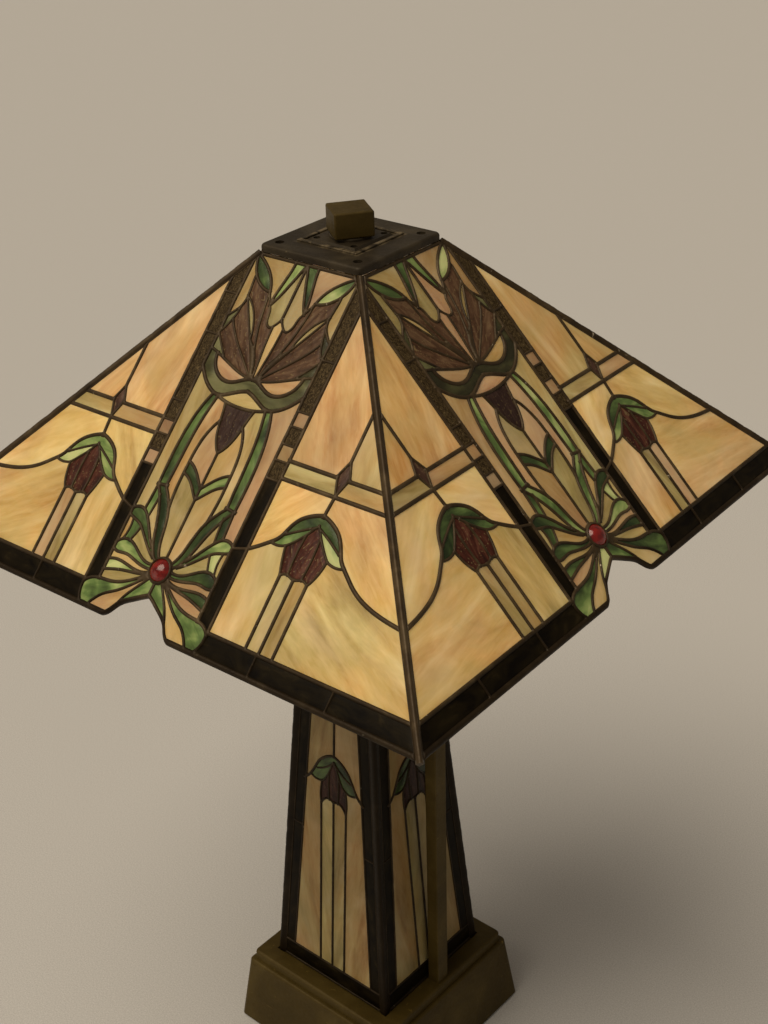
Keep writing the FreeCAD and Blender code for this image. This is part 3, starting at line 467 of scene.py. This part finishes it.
def came():
    """Lead with a brown patina, worn back to paler solder in spots, with painted highlights as small bright
    specks. Patina 1 is almost black.
    """
    paint = Paint("came")
    where = paint.where()
    patch = paint.noise(where, 60.0, 4, 0.6, 0.5)
    fine = paint.noise(where, 700.0, 4, 0.65)
    base = paint.ramp(
        patch, (0.3, (0.026, 0.015, 0.005)), (0.55, (0.052, 0.032, 0.012)), (0.75, (0.105, 0.073, 0.035)),
    )
    worn = paint.fade(paint.noise(where, 34.0, 5, 0.7, 1.0), 0.64, 0.78)
    # small bright specks of painted highlight on the lead
    painted_glint = paint.fade(paint.noise(where, 190.0, 4, 0.6, 0.6), 0.71, 0.76)
    colour = paint.mix(worn, base, (0.15, 0.115, 0.065))
    colour = paint.mix(painted_glint, colour, (0.42, 0.36, 0.27))
    patina = paint.attribute("patina")
    colour = paint.mix(paint.math("MULTIPLY", patina, 0.92), colour, (0.005, 0.0028, 0.001))
    paint.set(Base_Color=colour, Metallic=0.35, Roughness=paint.fade(fine, 0.3, 0.7, 0.42, 0.6))
    paint.set(Specular_IOR_Level=paint.fade(patina, 0.0, 1.0, 0.35, 0.12))
    paint.bump(fine, 0.35, 0.0002)
    return paint.material


def bronze(name, dark, mid, pale, rough, metal, worn_and_lit_bead=False):
    """Patchy cast metal with scuffs, and with a rubbed square bead on the cap that is painted paler, partly
    as wear and partly as a painted highlight along the bead.
    """
    paint = Paint(name)
    where = paint.where()
    patch = paint.noise(where, 22.0, 5, 0.6, 0.8)
    fine = paint.noise(where, 420.0, 5, 0.65)
    colour = paint.ramp(patch, (0.28, dark), (0.5, mid), (0.74, pale))
    scuff_and_highlight_mask = paint.fade(paint.noise(paint.stretched(where, (1.0, 1.0, 3.0)), 95.0, 6, 0.75, 0.6), 0.64, 0.74)
    if worn_and_lit_bead:
        # the cap's bead is painted paler: partly wear, partly painted highlight along the raised bead
        scuff_and_highlight_mask = paint.math("MAXIMUM", scuff_and_highlight_mask, bead_wear_and_highlight(paint, where))
    colour = paint.mix(scuff_and_highlight_mask, colour, tuple(min(1.0, c * 2.6) for c in pale))
    paint.set(Base_Color=colour, Metallic=metal, Specular_IOR_Level=0.18)
    paint.set(Roughness=paint.fade(fine, 0.3, 0.7, rough - 0.07, rough + 0.1))
    paint.bump(fine, 0.3, 0.0004)
    return paint.material


def bead_wear_and_highlight(paint, where):
    """Rubbed streaks along the cap's raised square bead, which also paint the highlight along it."""
    turn = (0, 0, -math.radians(SHADE["turn"]))
    turned = paint.node("ShaderNodeMapping", Vector=where, Rotation=turn).outputs[0]
    across = [paint.math("ABSOLUTE", paint.part(turned, axis)) for axis in range(2)]
    out = paint.math("MAXIMUM", *across)
    near = paint.math("ABSOLUTE", paint.math("SUBTRACT", out, CAP_BEAD * MM))
    bead = paint.fade(near, 0.0034, 0.0010)
    rubbed = paint.fade(paint.noise(where, 120.0, 4, 0.6, 0.8), 0.42, 0.62)
    return paint.math("MULTIPLY", paint.math("MULTIPLY", bead, rubbed), 0.9)


def plain(name, colour, rough, metal=0.0, coat=0.0, grain=300.0, relief=0.15):
    """One colour with a fine grain."""
    paint = Paint(name)
    fine = paint.noise(paint.where(), grain, 4, 0.6)
    low = tuple(c * 0.8 for c in colour)
    high = tuple(min(1.0, c * 1.15) for c in colour)
    paint.set(Base_Color=paint.ramp(fine, (0.3, low), (0.7, high)), Metallic=metal, Coat_Weight=coat)
    paint.set(Roughness=paint.fade(fine, 0.3, 0.7, rough - 0.05, rough + 0.07))
    paint.bump(fine, relief, 0.0003)
    return paint.material


def jewel_glass():
    """Deep red pressed glass."""
    paint = Paint("jewel_glass")
    deep = paint.noise(paint.where(), 220.0, 3, 0.5, 0.6)
    red = paint.ramp(deep, (0.3, (0.09, 0.002, 0.001)), (0.7, (0.22, 0.006, 0.003)))
    paint.set(Base_Color=red, Roughness=0.16, Coat_Weight=0.2, Coat_Roughness=0.08)
    paint.set(Subsurface_Weight=0.3, Subsurface_Scale=0.004)
    return paint.material


PAINTS = {
    "amber_glass": amber_glass(),
    "green_glass": green_glass(),
    "flower_glass": flower_glass(),
    "dark_glass": dark_glass(),
    "jewel_glass": jewel_glass(),
    "came": came(),
    "cap_bronze": bronze(
        "cap_bronze", (0.016, 0.011, 0.006), (0.032, 0.024, 0.014), (0.068, 0.052, 0.030), 0.48, 0.3, True
    ),
    "bronze": bronze(
        "bronze", (0.040, 0.026, 0.004), (0.058, 0.038, 0.007), (0.084, 0.058, 0.014), 0.52, 0.2
    ),
    "brass": bronze("brass", (0.30, 0.20, 0.08), (0.42, 0.29, 0.12), (0.52, 0.38, 0.17), 0.3, 0.95),
    "bulb_glass": plain("bulb_glass", (0.80, 0.78, 0.72), 0.3, coat=0.5, grain=120.0, relief=0.03),
    "black_plastic": plain("black_plastic", (0.018, 0.017, 0.016), 0.45),
    "felt": plain("felt", (0.030, 0.045, 0.030), 0.95, grain=1500.0, relief=0.9),
    "iron": plain("iron", (0.09, 0.09, 0.09), 0.6, 0.8, grain=180.0, relief=0.5),
    "steel": plain("steel", (0.38, 0.38, 0.39), 0.35, 1.0),
}

slots = {row["node"]: row["material_slot"] for row in frame["record"]["subparts"]}
for node, obj in frame["nodes"].items():
    for place in range(len(obj.data.materials)):
        obj.data.materials[place] = PAINTS[slots[node]]

# ---- leaded glass ---------------------------------------------------------------------------
GLASS_KINDS = {
    "amber": {"ripple": 0.16, "wave": 16.0, "fine": 0.03, "grid": 3.0},
    "green": {"ripple": 0.14, "wave": 7.0, "fine": 0.04, "grid": 1.8},
    "flower": {"ripple": 0.12, "wave": 6.0, "fine": 0.04, "grid": 0.8},
    "dark": {"ripple": 0.04, "wave": 12.0, "fine": 0.03, "grid": 1.6},
}


def piece_points(loop, grid):
    """Points on a piece's rim and inside it, with the distance of each to the rim."""
    rim = resampled(loop, min(grid, 1.6))
    tree = KDTree(len(rim))
    for row, (u, v) in enumerate(rim):
        tree.insert((u, v, 0), row)
    tree.balance()
    low, high = loop.min(axis=0), loop.max(axis=0)
    inner, depth = [], []
    rows = int((high[1] - low[1]) / (grid * 0.866))
    for row in range(rows + 1):
        v = low[1] + row * grid * 0.866
        u = low[0] + (row % 2) * grid / 2
        while u < high[0]:
            gap = tree.find((u, v, 0))[2]
            if gap > 0.62 * grid:
                inner.append((u, v))
                depth.append(gap)
            u += grid
    if not inner:
        return rim, rim, np.zeros(len(rim))
    return rim, np.concatenate([rim, np.array(inner)]), np.concatenate([np.zeros(len(rim)), depth])


def amber_tint(off, v, light, chance):
    """Tone, hue and lightness of an amber piece of the shade."""
    side = off > BAR_OUT
    if side and v > BAND_HIGH:
        return chance.uniform(0.5, 1.0), chance.uniform(-0.15, 0.2), light
    if side and v > BAND_LOW:
        return chance.uniform(0.2, 0.5), chance.choice((-0.75, -0.5, 0.35)), light * 0.8
    if side and STEMS_IN < off < STEMS_OUT and v < TULIP_FOOT_V:
        return chance.uniform(0.0, 0.5), chance.choice((-0.8, 0.5, 0.7, -0.4)), light * 0.74
    if side and v > SHOULDER_V:
        return chance.uniform(-0.1, 0.2), chance.uniform(-0.3, 0.15), light * 1.22
    if side:
        return chance.uniform(0.0, 0.35), chance.uniform(-0.55, 0.1), light * 1.04
    if off > BAR_IN:
        return 0.6, chance.uniform(0.7, 1.0), light * 0.6
    shade = 0.62 if v > TOP_FLOWER_V else 0.82
    return chance.uniform(0.0, 0.5), chance.choice((-0.9, -0.6, 0.0, 0.6, 0.9)), light * shade


def tint_of(colour, u, v, chance):
    """Tone, hue and lightness of a shade piece from where it is."""
    off = abs(u)
    side = off > BAR_OUT
    light = chance.uniform(0.92, 1.08)
    if colour == "amber":
        return amber_tint(off, v, light, chance)
    if colour == "green":
        tone = chance.choice((0.15, 0.32, 0.48, 0.64, 0.85))
        if CRESCENT_LOW < v < CRESCENT_HIGH and not side:
            return tone, 0.85, light * 0.7
        return tone, 0.1, light
    if colour == "flower":
        if off < HEART_OUT and HEART_LOW < v < CRESCENT_LOW:
            return 0.15, 0.9, light * 0.6
        if side and v > BAND_LOW:
            return 0.15, 0.6, light
        return (1.0 if side else 0.15), 0.0, light
    netting = v > NET_GAP_HIGH or NET_LOW < v < NET_GAP_LOW
    return (1.0 if netting and not side else 0.0), 0.0, light


def painted_shadow_column_tint(colour, u, v, chance):
    """The same for the column, whose glass is painted darker as painted shadow of the lampshade falling over
    it, the orange top pieces a little more.
    """
    # the factors of 0.42 to 0.7 on the lightness below are painted shadow from the lampshade
    light = chance.uniform(0.9, 1.06)
    if colour == "amber":
        if v > COLUMN_TULIP_V:
            return 0.8, -0.35, light * 0.5
        return chance.uniform(-0.3, 0.1), chance.uniform(-0.7, -0.35), light * 0.56
    if colour == "green":
        return chance.choice((0.25, 0.5, 0.75)), 0.1, light * 0.7
    return (1.0 if colour == "flower" else 0.0), 0.0, light * 0.42


def filigree(points, seed, lean):
    """Wandering ridges, 0 to 1, along the length of a petal."""
    out = []
    for u, v in points:
        across = u * math.cos(lean) + v * math.sin(lean)
        along = -u * math.sin(lean) + v * math.cos(lean)
        bend = 1.6 * noise.noise(Vector((u / 5.0, v / 5.0, seed)))
        wave = abs(math.sin((across / 2.3 + bend) * math.pi))
        cross = noise.noise(Vector((across / 1.6, along / 3.0, seed + 9)))
        out.append(max(0.0, 1 - 2.2 * wave) * (0.7 + 0.6 * cross))
    return np.clip(np.array(out), 0, 1)


def glaze(node, panels, colour, tint, body, slot):
    """Rebuilds a node's glass as rolled sheet with ripples, a ground edge and a grain of its own."""
    kind = GLASS_KINDS[colour]
    points, faces, grains, tints, ridges = [], [], [], [], []
    start = 0
    for panel in panels:
        for number, loop in enumerate(outlines(node, panel, 0.0)):
            chance = random.Random(1000 * panel.side + number)
            u, v = loop.mean(axis=0)
            rim, flat, depth = piece_points(loop, kind["grid"])
            edges = loop_edges([rim])
            rows = filled(flat, edges)
            spread = np.cov((loop - loop.mean(axis=0)).T)
            axis = np.linalg.eigh(spread)[1][:, 1]
            lean = math.atan2(axis[1], axis[0]) - math.pi / 2 + chance.uniform(-0.25, 0.25)
            seed = 20.0 * panel.side + 3.1 * number
            inside = np.clip(depth / 1.4, 0, 1)
            swell = kind["ripple"] * waviness(flat, kind["wave"], seed)
            swell += kind["fine"] * waviness(flat, kind["wave"] / 5, seed + 5)
            ridge = filigree(flat, seed, lean) if colour == "flower" else np.zeros(len(flat))
            top = (swell + 0.22 * ridge) * inside - 0.12 * (1 - inside)
            bottom = -GLASS - (swell * 0.7) * inside + 0.12 * (1 - inside)
            solid, sides = two_sided(flat, top, bottom, rows, edges)
            points.append(panel.world(solid))
            faces += [tuple(i + start for i in face) for face in sides]
            c, s = math.cos(lean), math.sin(lean)
            grain = np.column_stack([
                (flat[:, 0] * c + flat[:, 1] * s) / 10,
                (-flat[:, 0] * s + flat[:, 1] * c) / 10,
                np.full(len(flat), seed),
            ])
            grains += [grain, grain]
            tints.append(np.tile(np.array(tint(colour, u, v, chance)), (2 * len(flat), 1)))
            ridges += [ridge, ridge]
            start += len(solid)
    values = {"grain": np.concatenate(grains), "tint": np.concatenate(tints)}
    if colour == "flower":
        values["ridge"] = np.concatenate(ridges)
    obj = make_object(node + "_sheet", np.concatenate(points), faces, PAINTS[slot], body, 50, values)
    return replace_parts(obj, node)


def lead_net(node, panel, pattern, body, patina):
    """The solder over all leads of one side, outside and inside."""
    points, height, faces, edges, rims = pattern
    rough = 1 + 0.25 * waviness(points, 6.0, 50.0 + panel.side)
    rough += 0.15 * waviness(points, 1.7, 70.0 + panel.side)
    top = height * rough * 0.85
    bottom = -GLASS - height * 0.7 * rough
    top[:rims] = -0.15
    bottom[:rims] = 0.15 - GLASS
    solid, rows = two_sided(points, top, bottom, faces, edges)
    values = {"patina": patina + np.interp(solid[:, 1], BORDER_FADE, (0.75 - patina, 0.0))}
    obj = make_object(node + "_solder", panel.world(solid), rows, PAINTS["came"], body, None, values)
    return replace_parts(obj, node)


def corner_beads(name, node, size, setback, body, patina):
    """Rounded solder along the four corners between the sides."""
    points, faces = [], []
    run = size["half"] - size["top"]
    start = Vector((size["half"], -size["half"], size["low"]))
    end = Vector((size["top"], -size["top"], size["low"] + size["rise"]))
    along = (end - start).normalized()
    slope = math.hypot(run, size["rise"])
    normals = [Vector((0, -size["rise"], run)) / slope, Vector((size["rise"], 0, run)) / slope]
    ways = [along.cross(normal) for normal in normals]
    ways = [way if way.dot(Vector((-start.x, -start.y, 0))) > 0 else -way for way in ways]
    middle = (normals[0] + normals[1]).normalized()
    spans = [(0.15, 1.6, setback + 0.4), (-GLASS - 0.1, -GLASS - 2.2, setback + 0.3)]
    steps = int((end - start).length / 1.6)
    ring = 14
    for corner in range(4):
        turn = Matrix.Rotation(math.radians(90 * corner + size["turn"]), 4, "Z")
        base = len(points)
        for step in range(steps + 1):
            at = start.lerp(end, step / steps)
            for side, (seat, crown, reach) in enumerate(spans):
                a = ways[0] * reach + normals[0] * seat
                b = ways[1] * reach + normals[1] * seat
                swell = 1 + 0.16 * noise.noise(Vector((step * 0.21, corner * 7, side * 5)))
                swell += 0.10 * noise.noise(Vector((step * 0.9, corner * 7, side * 5)))
                peak = middle * (crown * swell) * 2 - (a + b) / 2
                for k in range(ring // 2):
                    t = k / (ring // 2 - 1)
                    t = t if side == 0 else 1 - t
                    point = a * (1 - t) ** 2 + peak * (2 * t * (1 - t)) + b * t ** 2
                    points.append(turn @ (at + point) * MM)
        for step in range(steps):
            for k in range(ring):
                here, there = base + step * ring, base + (step + 1) * ring
                faces.append((here + k, here + (k + 1) % ring, there + (k + 1) % ring, there + k))
        faces.append(tuple(base + k for k in range(ring - 1, -1, -1)))
        faces.append(tuple(base + steps * ring + k for k in range(ring)))
    values = {"patina": np.full(len(points), patina)}
    obj = make_object(name, points, faces, PAINTS["came"], body, 60, values)
    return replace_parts(obj, node)


def jewel_rings(panels, ring=56):
    """A bead of solder round each jewel, outside and inside."""
    profile = [
        (0.0, -3.4), (0.0, 0.5), (0.2, 1.15), (0.65, 1.5), (1.15, 1.35), (1.6, 0.8), (1.8, 0.1),
        (1.35, -0.2), (1.35, -2.7), (1.75, -3.0), (1.45, -3.7), (0.75, -4.1), (0.25, -3.95),
    ]
    points, faces = [], []
    for panel in panels:
        start = len(points)
        flat = []
        for step in range(ring):
            angle = 2 * math.pi * step / ring
            swell = 1 + 0.12 * noise.noise(Vector((2.2 * math.cos(angle), 2.2 * math.sin(angle), panel.side)))
            for reach, n in profile:
                out = JEWEL_RING + reach * swell
                height = n * swell if n > 0 else n
                flat.append((out * math.cos(angle), JEWEL_V + out * math.sin(angle), height))
        points += panel.world(np.array(flat)).tolist()
        count = len(profile)
        for step in range(ring):
            for k in range(count):
                here, there = start + step * count, start + (step + 1) % ring * count
                faces.append((here + k, there + k, there + (k + 1) % count, here + (k + 1) % count))
    obj = make_object("jewel_rings", points, faces, PAINTS["came"], "shade", 50)
    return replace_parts(obj, "jewel_bezels")


def threaded_rod(pitch=1.0, depth=0.35, around=20, rows=4):
    """The lamp rod with a thread cut along all of it."""
    steps = int((ROD_HIGH - ROD_LOW) / pitch * rows)
    points, faces = [], []
    for step in range(steps + 1):
        z = ROD_LOW + (ROD_HIGH - ROD_LOW) * step / steps
        for k in range(around):
            turn = k / around
            wave = abs(2 * (((z - ROD_LOW) / pitch + turn) % 1) - 1)
            radius = ROD_R - depth * wave
            angle = 2 * math.pi * turn
            points.append((radius * math.cos(angle) * MM, radius * math.sin(angle) * MM, z * MM))
    bore = len(points)
    for z in (ROD_LOW, ROD_HIGH):
        for k in range(around):
            angle = 2 * math.pi * k / around
            points.append((ROD_BORE * math.cos(angle) * MM, ROD_BORE * math.sin(angle) * MM, z * MM))
    for step in range(steps):
        for k in range(around):
            a, b = step * around + k, step * around + (k + 1) % around
            faces.append((a, b, b + around, a + around))
    for k in range(around):
        low, low_next = bore + k, bore + (k + 1) % around
        high, high_next = low + around, low_next + around
        rim, rim_next = steps * around + k, steps * around + (k + 1) % around
        faces.append((low, high, high_next, low_next))
        faces.append((k, low, low_next, (k + 1) % around))
        faces.append((rim, rim_next, high_next, high))
    obj = make_object("lamp_rod_thread", points, faces, PAINTS["brass"], "root", 40)
    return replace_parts(obj, "lamp_rod")


shade_pattern = solder(outlines("shade_came_front", Panel(SHADE, 0), PROUD))
column_pattern = solder(outlines("column_came_front", Panel(COLUMN, 0), PROUD))
for side, name in enumerate(SIDES):
    panel = Panel(SHADE, side)
    lead_net("shade_came_" + name, panel, shade_pattern, "shade", 0.0)
    lead_net("column_came_" + name, Panel(COLUMN, side), column_pattern, "root", 0.6)
    for colour in GLASS_KINDS:
        node = f"shade_{colour}_glass_{name}"
        glaze(node, [panel], colour, tint_of, "shade", colour + "_glass")
columns = [Panel(COLUMN, side) for side in range(4)]
for part, colour in (("amber", "amber"), ("leaf", "green"), ("petal", "flower"), ("black", "dark")):
    node = f"column_{part}_glass"
    glaze(node, columns, colour, painted_shadow_column_tint, "root", colour + "_glass")
corner_beads("shade_hip_solder", "shade_hip_cames", SHADE, HIP_SETBACK, "shade", 0.0)
corner_beads("column_corner_solder", "column_corner_cames", COLUMN, CORNER_SETBACK, "root", 0.9)
jewel_rings([Panel(SHADE, side) for side in range(4)])
threaded_rod()

# ---- floor, light and camera ----------------------------------------------------------------
scene = bpy.context.scene
floor_mesh = bpy.data.meshes.new("floor")
reach = 60.0
corners = [(-reach, -reach, 0), (reach, -reach, 0), (reach, reach, 0), (-reach, reach, 0)]
floor_mesh.from_pydata(corners, [], [(0, 1, 2, 3)])
floor = bpy.data.objects.new("floor", floor_mesh)
scene.collection.objects.link(floor)
floor_mesh.materials.append(plain("floor", (0.50, 0.49, 0.48), 0.85, grain=900.0, relief=0.0))

world = bpy.data.worlds.new("studio")
scene.world = world
world.use_nodes = True
world.node_tree.nodes["Background"].inputs["Color"].default_value = (0.85, 0.74, 0.60, 1)
world.node_tree.nodes["Background"].inputs["Strength"].default_value = 0.26


def lit(name, kind, at, aim, power, colour, **sizes):
    light = bpy.data.lights.new(name, kind)
    light.energy = power
    light.color = colour
    for key, value in sizes.items():
        setattr(light, key, value)
    obj = bpy.data.objects.new(name, light)
    obj.location = at
    obj.rotation_euler = (Vector(aim) - Vector(at)).to_track_quat("-Z", "Y").to_euler()
    scene.collection.objects.link(obj)


lit("key", "SUN", (-0.32, -0.95, 2.6), (0, 0, 0.45), 2.4, (1.0, 0.88, 0.70), angle=math.radians(50))
lit("fill", "AREA", (-0.8, -1.5, 0.55), (0, 0, 0.28), 1.6, (1.0, 0.86, 0.68), size=1.0)

camera = bpy.data.objects.new("camera", bpy.data.cameras.new("camera"))
forward = Vector((
    math.sin(CAMERA_YAW) * math.cos(CAMERA_PITCH),
    math.cos(CAMERA_YAW) * math.cos(CAMERA_PITCH),
    -math.sin(CAMERA_PITCH),
))
level = Vector((math.cos(CAMERA_YAW), -math.sin(CAMERA_YAW), 0))
upright = level.cross(forward)
right = level * math.cos(CAMERA_ROLL) + upright * math.sin(CAMERA_ROLL)
up = upright * math.cos(CAMERA_ROLL) - level * math.sin(CAMERA_ROLL)
camera.matrix_world = Matrix.Translation(CAMERA_AT) @ Matrix((right, up, -forward)).transposed().to_4x4()
camera.data.lens = CAMERA_LENS
camera.data.sensor_width = 36
scene.collection.objects.link(camera)
scene.camera = camera
scene.view_settings.view_transform = "Standard"
